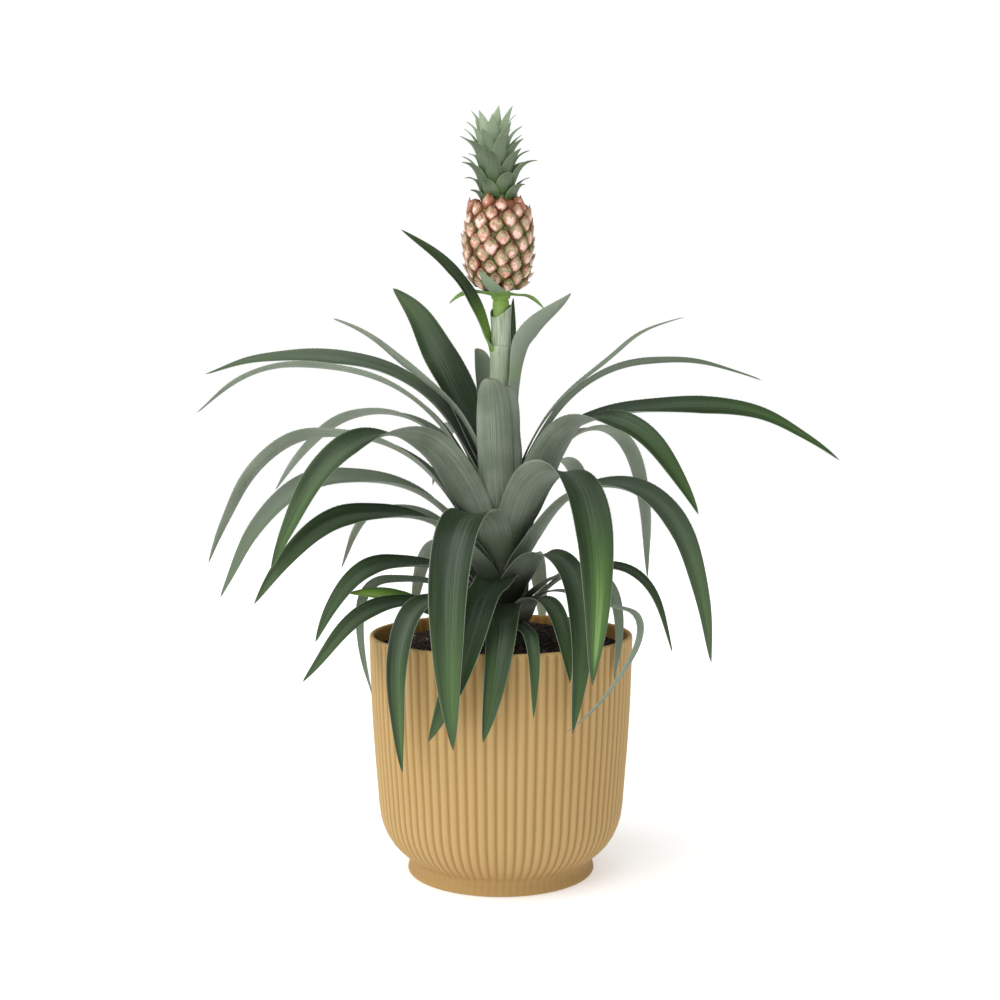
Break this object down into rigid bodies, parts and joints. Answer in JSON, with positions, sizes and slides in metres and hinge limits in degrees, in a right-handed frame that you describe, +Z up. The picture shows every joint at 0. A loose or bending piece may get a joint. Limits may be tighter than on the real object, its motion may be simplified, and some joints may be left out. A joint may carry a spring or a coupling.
{
  "type": "potted pineapple plant",
  "caption": "Dwarf pineapple plant in fruit: arching strap leaves round a short stem, a small fruit with a leafy crown on a stalk, in a round ribbed cover pot.",
  "frame": {"origin": "centre of the pot's flat foot, on the surface it stands on", "axes": "+Z up along the pot's axis and the plant's stem; -Y is the front; +X is to the right seen from the front. The pot is round, so the front is only the side on which the plant was arranged."},
  "size_m": [0.3542, 0.2202, 0.4058],
  "materials": {
    "pot": "matte",
    "soil": "matte",
    "stem": "satin",
    "leaf": "satin",
    "bract": "satin",
    "fruit": "satin",
    "crown": "satin"
  },
  "bodies": {
    "root": {"bract_front": "bract", "bract_left": "bract", "bract_right": "bract", "crown": "crown", "fruit": "fruit", "leaf_back_high": "leaf", "leaf_back_left_low": "leaf", "leaf_back_mid": "leaf", "leaf_back_right_mid": "leaf", "leaf_back_upright": "leaf", "leaf_curl_right": "leaf", "leaf_front_big": "leaf", "leaf_front_glossy": "leaf", "leaf_front_mid": "leaf", "leaf_front_right_big": "leaf", "leaf_front_right_low": "leaf", "leaf_hanging_left": "leaf", "leaf_heart_back": "leaf", "leaf_heart_front": "leaf", "leaf_heart_right": "leaf", "leaf_left_a": "leaf", "leaf_left_b": "leaf", "leaf_left_back": "leaf", "leaf_left_back_low": "leaf", "leaf_left_broad": "leaf", "leaf_left_c": "leaf", "leaf_left_d": "leaf", "leaf_left_long_a": "leaf", "leaf_left_long_b": "leaf", "leaf_left_thin": "leaf", "leaf_left_upright": "leaf", "leaf_low_back": "leaf", "leaf_low_back_right": "leaf", "leaf_low_front_left": "leaf", "leaf_low_front_right": "leaf", "leaf_low_left": "leaf", "leaf_low_right": "leaf", "leaf_on_stalk": "leaf", "leaf_pale_back_right": "leaf", "leaf_pale_left": "leaf", "leaf_pale_right": "leaf", "leaf_right_broad": "leaf", "leaf_right_c": "leaf", "leaf_right_long": "leaf", "leaf_right_upper_a": "leaf", "leaf_right_upper_b": "leaf", "leaf_right_upright": "leaf", "leaf_thin_front": "leaf", "pot": "pot", "soil": "soil", "stem": "stem"}
  },
  "joints": []
}
